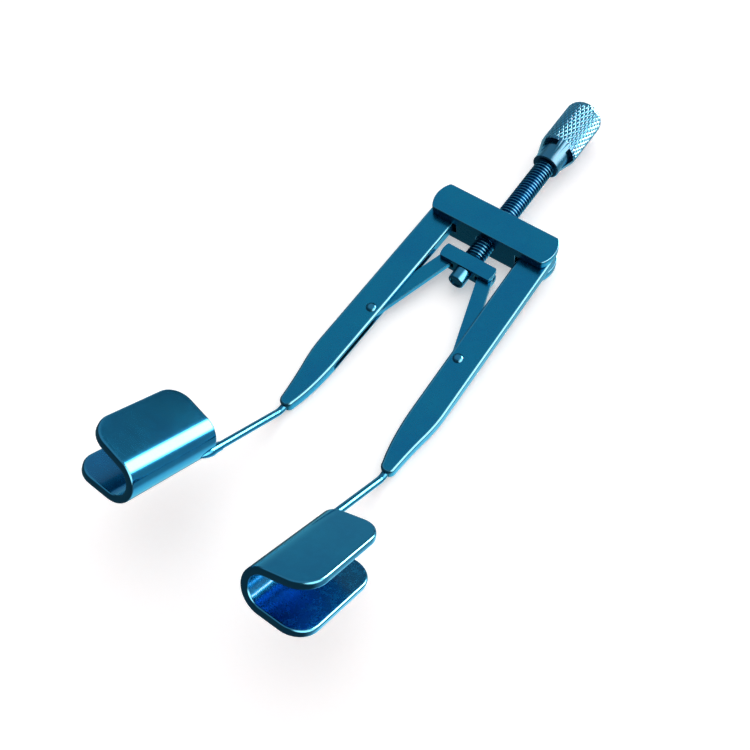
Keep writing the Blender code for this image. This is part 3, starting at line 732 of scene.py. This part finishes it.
def knurl(angle, y):
    """Depth of the crossed V cuts at a place on the barrel, 0 on a diamond's flat top.

    The cuts deepen over a short lead from the cone and run out on the rounded end.
    """
    around = KNURL_COUNT * angle / (2 * pi)
    along = (y - CONE_END) / KNURL_LENGTH
    cuts = []
    for phase in (around + along, around - along):
        cut = abs(2 * (phase - floor(phase)) - 1)
        cuts.append(max(0.0, (cut - KNURL_LAND) / (1 - KNURL_LAND)))
    run_out = min(1.0, max(0.0, (KNOB_HIGH.y - y) / END_ROUND - KNURL_STOPS),
                  max(0.0, (y - CONE_END + KNURL_LEAD) / KNURL_DEEPENS))
    return KNURL_DEPTH * run_out * max(cuts)


def knurled_knob(name):
    """Knob along +Y with its knurl cut into the barrel and a blind hole for the screw.

    Where the knurl is cut deeper than KNURL_PALE, it shows the second surface, whose paler tone
    is a painted highlight.
    """
    steps = KNURL_COUNT * KNURL_CUTS
    stations = [(0.0, SOCKET_FLOOR), (SCREW_SOCKET, SOCKET_FLOOR), (SCREW_SOCKET, KNOB_LOW.y),
                (COLLAR_RADIUS - COLLAR_EDGE, KNOB_LOW.y),
                (COLLAR_RADIUS, KNOB_LOW.y + COLLAR_EDGE), (COLLAR_RADIUS, CONE_START),
                ((COLLAR_RADIUS + KNOB_RADIUS) / 2, (CONE_START + CONE_END) / 2)]
    barrel_end = KNOB_HIGH.y - END_DOME - END_ROUND
    rows = int((barrel_end - CONE_END) / KNURL_LENGTH * KNURL_CUTS)
    stations += [(KNOB_RADIUS, CONE_END + (barrel_end - CONE_END) * i / rows)
                 for i in range(rows + 1)]
    stations += arc((KNOB_RADIUS - END_ROUND, barrel_end), END_ROUND, 0.0, pi / 2,
                    END_ROUND_STEPS)[1:]
    inner = KNOB_RADIUS - END_ROUND
    for i in range(1, END_DOME_STEPS + 1):
        out = 1 - i / END_DOME_STEPS
        stations.append((inner * out, KNOB_HIGH.y - END_DOME * out ** 2))
    shape = bmesh.new()
    rings = []
    for radius, y in stations:
        ring = []
        for step in range(steps):
            angle = 2 * pi * step / steps
            r = radius - (knurl(angle, y) if y >= CONE_END and radius > inner else 0.0)
            ring.append(shape.verts.new((r * sin(angle), y, SCREW_HEIGHT + r * cos(angle))))
        rings.append(ring)
    for row, (ring, after) in enumerate(zip(rings, rings[1:])):
        for i in range(steps):
            j = (i + 1) % steps
            face = shape.faces.new((ring[i], ring[j], after[j], after[i]))
            in_barrel = stations[row][1] >= CONE_END and stations[row + 1][0] > inner
            cut = knurl(2 * pi * (i + 0.5) / steps, stations[row][1])
            face.material_index = 1 if in_barrel and cut > KNURL_PALE else 0
    bmesh.ops.remove_doubles(shape, verts=shape.verts, dist=WELD_GAP)
    bmesh.ops.recalc_face_normals(shape, faces=shape.faces)
    return piece_from(name, shape)


knob_titanium = anodised("knob_titanium", tone=(0.004, 0.095, 0.190), satin=0.24,
                         grain=0.06 * MM, relief=0.15, clear=0.35)
knob = knurled_knob("knob_knurled")
for i in range(CUT_COUNT):
    middle = CUT_START + 2 * pi * i / CUT_COUNT
    first, last = middle - CUT_WIDTH / 2, middle + CUT_WIDTH / 2
    sector = arc((0.0, 0.0), COLLAR_RADIUS, first, last, CUT_STEPS)
    sector += arc((0.0, 0.0), 2 * KNOB_RADIUS, last, first, CUT_STEPS)
    cutter = plate("mill", sector, SHOULDER - CONE_START + COLLAR_EDGE)
    # The sector's x is up and its y is across, as seen along the screw
    cutter.data.transform(Matrix(((0, 1, 0, 0),
                                  (0, 0, 1, (SHOULDER + CONE_START - COLLAR_EDGE) / 2),
                                  (1, 0, 0, SCREW_HEIGHT), (0, 0, 0, 1))))
    machine(knob, cutter)
dress(knob, knob_titanium, edge_titanium)
finish_piece(knob, "screw", "knob")


# Neck wires
# A 1 mm titanium wire is set into each arm's tip, bent up just outside it and runs straight
# to the blade.

NECK_RADIUS = 0.5 * MM
NECK_SEAT = 4.0 * MM
NECK_BEND = 2.0 * MM
NECK_LENGTH = 14.6 * MM
NECK_PITCH = radians(39.7)
NECK_TOE_IN = radians(2.4)
NECK_STEPS = 32
NECK_BEND_STEPS = 16
BOSS_LENGTH = 1.6 * MM
BOSS_SOCKET = 1.15 * MM


def neck_heading(side):
    level = cos(NECK_PITCH)
    turn = -side * NECK_TOE_IN
    return Vector((sin(turn) * level, -cos(turn) * level, sin(NECK_PITCH)))


def neck_path(side):
    """Centre line in the arm's own frame: straight seat, one bend, straight to the blade."""
    along = Vector((0.0, -1.0, 0.0))
    heading = neck_heading(side)
    bend = acos(along.dot(heading))
    inward = (heading - along * cos(bend)).normalized()
    tip = Vector((-side * ARM_TIP_INSET, -ARM_LENGTH, 0.0))
    path = [tip - along * NECK_SEAT]
    for i in range(NECK_BEND_STEPS + 1):
        turn = bend * i / NECK_BEND_STEPS
        path.append(tip + NECK_BEND * (sin(turn) * along + (1 - cos(turn)) * inward))
    path.append(path[-1] + heading * (NECK_LENGTH - NECK_BEND * bend))
    return path


def drawn_wire(name, path, radius, steps):
    """Round wire swept along a path, with flat ends."""
    shape = bmesh.new()
    rings = []
    across = Vector((1.0, 0.0, 0.0))
    for i, place in enumerate(path):
        before = path[max(i - 1, 0)]
        after = path[min(i + 1, len(path) - 1)]
        along = (after - before).normalized()
        side_way = (across - along * across.dot(along)).normalized()
        up_way = along.cross(side_way)
        rings.append([shape.verts.new(place + radius * (cos(2 * pi * k / steps) * side_way
                                                        + sin(2 * pi * k / steps) * up_way))
                      for k in range(steps)])
    for ring, following in zip(rings, rings[1:]):
        for k in range(steps):
            m = (k + 1) % steps
            shape.faces.new((ring[k], ring[m], following[m], following[k]))
    shape.faces.new(rings[0])
    shape.faces.new(rings[-1])
    bmesh.ops.recalc_face_normals(shape, faces=shape.faces)
    return piece_from(name, shape)


drawn_titanium = anodised("drawn_titanium", tone=(0.004, 0.110, 0.220), satin=0.22,
                          grain=0.05 * MM, relief=0.12, clear=0.15, lay=(1.0, 0.15, 0.15))
for side, label in SIDES:
    path = neck_path(side)
    path[-1] += neck_heading(side) * (BOSS_SOCKET - BOSS_LENGTH)
    path = [arm_frame(side) @ place for place in path]
    wire = drawn_wire(label + "_neck_drawn", path, NECK_RADIUS, NECK_STEPS)
    dress(wire, drawn_titanium, edge_titanium)
    finish_piece(wire, label + "_arm", label + "_neck_wire")


# Lid blades
# Each blade is a titanium sheet bent to a U that opens away from the eye and hooks the lid.
# Its outside is polished finer than its inside, its lips have rounded corners and softened
# rims, and a welded boss takes the wire.

BLADE_LENGTH = 14.0 * MM
BLADE_DEPTH = 8.4 * MM
BLADE_SHEET = 1.0 * MM
BLADE_BACK = 3.0 * MM
BLADE_FLARE = radians(7.0)
BLADE_ROLL = radians(10.5)
NEAR_CORNER = 2.75 * MM
FAR_CORNER = 2.95 * MM
RIM_ROUND = 0.28 * MM
NECK_BEHIND_SHEET = 0.35 * MM
NECK_PAST_SHEET_END = 0.45 * MM
NECK_BELOW_MIDDLE = 0.4 * MM
BOSS_RADIUS = 0.69 * MM
BOSS_MOUTH = 0.6 * MM
BOSS_FADE = 2.3 * MM
BOSS_MOUTH_CURVE = 1.6
BOSS_FADE_CURVE = 1.7
BOSS_STEPS = 12
BEND_RADIUS = BLADE_BACK - BLADE_SHEET / 2
HALF_BEND = BEND_RADIUS * (pi / 2 - BLADE_FLARE)
BEND_END = BEND_RADIUS * (1 - sin(BLADE_FLARE))
HALF_SHEET = HALF_BEND + (BLADE_DEPTH - BLADE_SHEET / 2 - BEND_END) / cos(BLADE_FLARE)
BEND_STEPS = 36
PLATE_STEPS = 16
CORNER_STEPS = 10
RUN_STEPS = 24
RIM_STEPS = 5


def neck_to_sheet(side):
    return Matrix.Translation((side * NECK_BEHIND_SHEET, NECK_PAST_SHEET_END,
                               NECK_BELOW_MIDDLE))


def blade_frame(side):
    """Blade's own frame: origin on the sheet's back, -Y along the blade, X across the U."""
    return (arm_frame(side) @ Matrix.Translation(neck_path(side)[-1])
            @ Matrix.Rotation(-side * NECK_TOE_IN, 4, "Z")
            @ Matrix.Rotation(-NECK_PITCH, 4, "X")
            @ Matrix.Rotation(-side * BLADE_ROLL, 4, "Y")
            @ neck_to_sheet(side))


def bent(round_way, y, lift):
    """Place at a distance round the U from its back, at y, lifted off the sheet's middle."""
    sign = 1 if round_way > 0 else -1
    way = abs(round_way)
    turn = min(way, HALF_BEND) / BEND_RADIUS
    straight = max(0.0, way - HALF_BEND)
    reach = BEND_RADIUS + lift
    x = BEND_RADIUS - reach * cos(turn) + straight * sin(turn)
    z = reach * sin(turn) + straight * cos(turn)
    return x, y, sign * z


def sheet_rows():
    """Stations of the flat sheet inside its rim: (y, half width, how the row's end faces)."""
    near = NEAR_CORNER - RIM_ROUND
    far = FAR_CORNER - RIM_ROUND
    half = HALF_SHEET - RIM_ROUND
    rows = []
    for i in range(CORNER_STEPS + 1):
        turn = pi / 2 * i / CORNER_STEPS
        rows.append((near * (cos(turn) - 1) - RIM_ROUND, half - near * (1 - sin(turn)), turn))
    run = BLADE_LENGTH - NEAR_CORNER - FAR_CORNER
    rows += [(-NEAR_CORNER - run * i / RUN_STEPS, half, pi / 2) for i in range(1, RUN_STEPS)]
    for i in range(CORNER_STEPS + 1):
        turn = pi / 2 + pi / 2 * i / CORNER_STEPS
        rows.append((RIM_ROUND - BLADE_LENGTH + far * (1 + cos(turn)),
                     half - far * (1 - sin(turn)), turn))
    return rows


def bent_sheet(name, side):
    """Blade bent from a flat sheet whose rim is rounded: both faces, then rings to the rim."""
    shape = bmesh.new()
    half_sheet = BLADE_SHEET / 2
    bend = [HALF_BEND * (2 * i / BEND_STEPS - 1) for i in range(BEND_STEPS + 1)]
    grid = []
    for y, half, facing in sheet_rows():
        plate_part = [HALF_BEND + (half - HALF_BEND) * i / PLATE_STEPS
                      for i in range(1, PLATE_STEPS + 1)]
        stations = [-w for w in reversed(plate_part)] + bend + plate_part
        grid.append([(w, y, facing) for w in stations])
    last = len(grid[0]) - 1
    loop = [(w, y, 0.0, 1.0) for w, y, _ in grid[0][1:-1]]
    loop += [(row[last][0], row[last][1], sin(row[last][2]), cos(row[last][2])) for row in grid]
    loop += [(w, y, 0.0, -1.0) for w, y, _ in reversed(grid[-1][1:-1])]
    loop += [(row[0][0], row[0][1], -sin(row[0][2]), cos(row[0][2])) for row in reversed(grid)]
    rings = []
    for face in (1, -1):
        made = {}
        for row in grid:
            for w, y, _ in row:
                x, y_place, z = bent(w, y, face * half_sheet)
                made[w, y] = shape.verts.new((side * x, y_place, z))
        for row, following in zip(grid, grid[1:]):
            for i in range(last):
                corners = (row[i], row[i + 1], following[i + 1], following[i])
                sheet_face = shape.faces.new([made[w, y] for w, y, _ in corners])
                sheet_face.material_index = 0 if face > 0 else 2
        sides = [[made[w, y] for w, y, _, _ in loop]]
        for step in range(1, RIM_STEPS + 1):
            turn = pi / 2 * step / RIM_STEPS
            out = RIM_ROUND * sin(turn)
            lift = face * (half_sheet - RIM_ROUND * (1 - cos(turn)))
            ring = []
            for w, y, across, along in loop:
                x, y_place, z = bent(w + out * across, y + out * along, lift)
                ring.append(shape.verts.new((side * x, y_place, z)))
            sides.append(ring)
        rings.append(sides)
    upper, lower = rings
    strips = list(zip(upper, upper[1:])) + list(zip(lower, lower[1:])) + [(upper[-1], lower[-1])]
    for first, second in strips:
        for i in range(len(loop)):
            j = (i + 1) % len(loop)
            rim_face = shape.faces.new((first[i], first[j], second[j], second[i]))
            rim_face.material_index = 1
    bmesh.ops.recalc_face_normals(shape, faces=shape.faces)
    return piece_from(name, shape)


blade_titanium = anodised("blade_titanium", tone=(0.005, 0.150, 0.300), satin=0.125,
                          grain=0.12 * MM, relief=0.04, clear=0.13)
inside_titanium = anodised("inside_titanium", tone=(0.003, 0.130, 0.320), satin=0.26,
                           grain=0.12 * MM, relief=0.01, clear=0.25)
rim_titanium = anodised("rim_titanium", tone=(0.005, 0.140, 0.280), drift=ANODISED_TEAL,
                        satin=0.18, grain=0.05 * MM, relief=0.05, clear=0.3)

for side, label in SIDES:
    blade = bent_sheet(label + "_blade_bent", side)
    dress(blade, blade_titanium, rim_titanium, inside_titanium)
    shares = [i / BOSS_STEPS for i in range(BOSS_STEPS + 1)]
    flare = [(BOSS_MOUTH + (BOSS_RADIUS - BOSS_MOUTH) * share ** BOSS_MOUTH_CURVE,
              BOSS_LENGTH * (1 - share)) for share in shares]
    fade = [(BOSS_RADIUS * (1 - share ** BOSS_FADE_CURVE), -BOSS_FADE * share)
            for share in shares[1:-1]]
    profile = [(0.0, BOSS_LENGTH)] + flare + fade + [(0.0, -BOSS_FADE)]
    neck_axis = neck_to_sheet(side).inverted()
    boss = turned("boss", profile, neck_axis @ Matrix.Rotation(-pi / 2, 4, "X"), PIN_STEPS)
    dress(boss, blade_titanium)
    machine(blade, boss, "UNION")
    machine(blade, rod("drill", WIRE_SEAT_RADIUS, neck_axis @ Vector((0, 2 * BOSS_LENGTH, 0)),
                       neck_axis @ Vector((0, BOSS_LENGTH - BOSS_SOCKET, 0))))
    blade.data.transform(blade_frame(side))
    finish_piece(blade, label + "_arm", label + "_blade")


# Table
# The speculum lies on white paper: on the crossbar's front edge and the arms' tips, with its
# nose a little low, so the table is tilted to meet both.

TABLE_SIZE = 1.2
TABLE_TILT = atan2(ARM_LOW.z - BAR_LOW.z, BAR_LOW.y - ARM_LOW.y)
WHITE = (1.0, 1.0, 1.0)
PAPER_WHITE = (0.90, 0.90, 0.91)
PAPER_ROUGHNESS = 0.9
PAPER_GLOW = 0.4

table_mesh = bpy.data.meshes.new("table")
half = TABLE_SIZE / 2
table_mesh.from_pydata([(-half, -half, 0), (half, -half, 0), (half, half, 0), (-half, half, 0)],
                       [], [(0, 1, 2, 3)])
table = new_piece("table", table_mesh)
table.location = (0.0, BAR_LOW.y, BAR_LOW.z)
table.rotation_euler.x = -TABLE_TILT
paper = bpy.data.materials.new("white_paper")
paper.use_nodes = True
tree = paper.node_tree
paper_shader = tree.nodes["Principled BSDF"]
ray = add_node(tree, "ShaderNodeLightPath")
glow = combine(tree, "MULTIPLY", ray.outputs["Is Camera Ray"], PAPER_GLOW)
for socket, source in (("Base Color", PAPER_WHITE), ("Roughness", PAPER_ROUGHNESS),
                       ("Emission Color", WHITE), ("Emission Strength", glow)):
    fill(tree, paper_shader.inputs[socket], source)
table_mesh.materials.append(paper)
table.visible_glossy = False
table.visible_diffuse = False
table.visible_shadow = False


# Light
# Soft daylight from behind. The metal mirrors a dim room with a pale ceiling, white paper at
# its sides and below, a bright wall on the right and a low window with a pale surround. The
# wall and the window are warm, because the blue film takes the red out of what it mirrors.

PLAIN_LIGHT = 0.35
DAYLIGHT, DAYLIGHT_WAY, DAYLIGHT_SPREAD = 1.5, (-0.1, 0.55, 0.8), (10, 50)
ROOM = 0.14
CEILING, CEILING_WAY, CEILING_SPREAD = 0.92, (-0.3, 0.55, 0.75), (25, 55)
LEFT_PAPER, LEFT_PAPER_WAY, LEFT_PAPER_SPREAD = 0.6, (-0.65, 0.7, -0.35), (18, 34)
RIGHT_PAPER, RIGHT_PAPER_WAY, RIGHT_PAPER_SPREAD = 0.7, (0.65, 0.5, -0.6), (30, 66)
PAPER_BELOW, PAPER_BELOW_WAY, PAPER_BELOW_SPREAD = 0.9, (0.25, 0.0, -0.97), (16, 32)
RIGHT_WALL, RIGHT_WALL_WAY, RIGHT_WALL_SPREAD = 18.0, (0.8, 0.2, 0.55), (15, 46)
WINDOW, WINDOW_WAY, WINDOW_SPREAD = 70.0, (0.37, 0.924, 0.067), (10, 22)
SURROUND, SURROUND_SPREAD = 3.0, (16, 27)
WARM = (1.0, 0.42, 0.30)

world = bpy.data.worlds.new("room")
bpy.context.scene.world = world
world.use_nodes = True
tree = world.node_tree
background = tree.nodes["Background"]
way = add_node(tree, "ShaderNodeTexCoord")


def soft_patch(strength, centre, spread):
    """Light from one part of the room: full inside one angle, none outside a wider one."""
    full, none = spread
    toward = add_node(tree, "ShaderNodeVectorMath", operation="DOT_PRODUCT")
    toward.inputs[1].default_value = Vector(centre).normalized()
    tree.links.new(way.outputs["Generated"], toward.inputs[0])
    return ramp(tree, toward.outputs["Value"], (cos(radians(none)), cos(radians(full))),
                (0.0, strength), interpolation_type="SMOOTHSTEP")


ray = add_node(tree, "ShaderNodeLightPath")
mirrored = combine(tree, "ADD", ray.outputs["Is Transmission Ray"],
                   ray.outputs["Is Glossy Ray"])
on_table = combine(tree, "ADD", PLAIN_LIGHT, soft_patch(DAYLIGHT, DAYLIGHT_WAY, DAYLIGHT_SPREAD))
in_metal = ROOM
for strength, centre, spread in ((CEILING - ROOM, CEILING_WAY, CEILING_SPREAD),
                                 (LEFT_PAPER, LEFT_PAPER_WAY, LEFT_PAPER_SPREAD),
                                 (RIGHT_PAPER, RIGHT_PAPER_WAY, RIGHT_PAPER_SPREAD),
                                 (PAPER_BELOW, PAPER_BELOW_WAY, PAPER_BELOW_SPREAD),
                                 (SURROUND, WINDOW_WAY, SURROUND_SPREAD)):
    in_metal = combine(tree, "ADD", in_metal, soft_patch(strength, centre, spread))
bright = combine(tree, "ADD", soft_patch(RIGHT_WALL, RIGHT_WALL_WAY, RIGHT_WALL_SPREAD),
                 soft_patch(WINDOW, WINDOW_WAY, WINDOW_SPREAD))
in_metal = combine(tree, "ADD", in_metal, bright)
level = mix(tree, mirrored, on_table, in_metal, "FLOAT")
level = mix(tree, ray.outputs["Is Camera Ray"], level, 1.0, "FLOAT")
tree.links.new(level, background.inputs["Strength"])

bright_share = combine(tree, "DIVIDE", bright, in_metal)
warmth = combine(tree, "MULTIPLY", bright_share, mirrored)
tree.links.new(mix(tree, warmth, WHITE, WARM), background.inputs["Color"])


# Camera
# The photograph was taken from the front right, steeply from above and close by.

EYE = Vector((37.05, -62.78, 106.14)) * MM
AIM = Vector((-0.925, -27.775, 2.5)) * MM
ROLL = radians(-12.43)
FOCAL_PIXELS = 864.8
PICTURE_PIXELS = 750
SENSOR = 36.0
CLOSEST = 5 * MM

camera_data = bpy.data.cameras.new("camera")
camera_data.sensor_width = SENSOR
camera_data.lens = FOCAL_PIXELS / PICTURE_PIXELS * SENSOR
camera_data.clip_start = CLOSEST
camera = bpy.data.objects.new("camera", camera_data)
bpy.context.scene.collection.objects.link(camera)
camera.location = EYE
camera.rotation_euler = ((AIM - EYE).to_track_quat("-Z", "Y").to_matrix().to_4x4()
                         @ Matrix.Rotation(ROLL, 4, "Z")).to_euler()
bpy.context.scene.camera = camera
bpy.context.scene.view_settings.view_transform = "Standard"
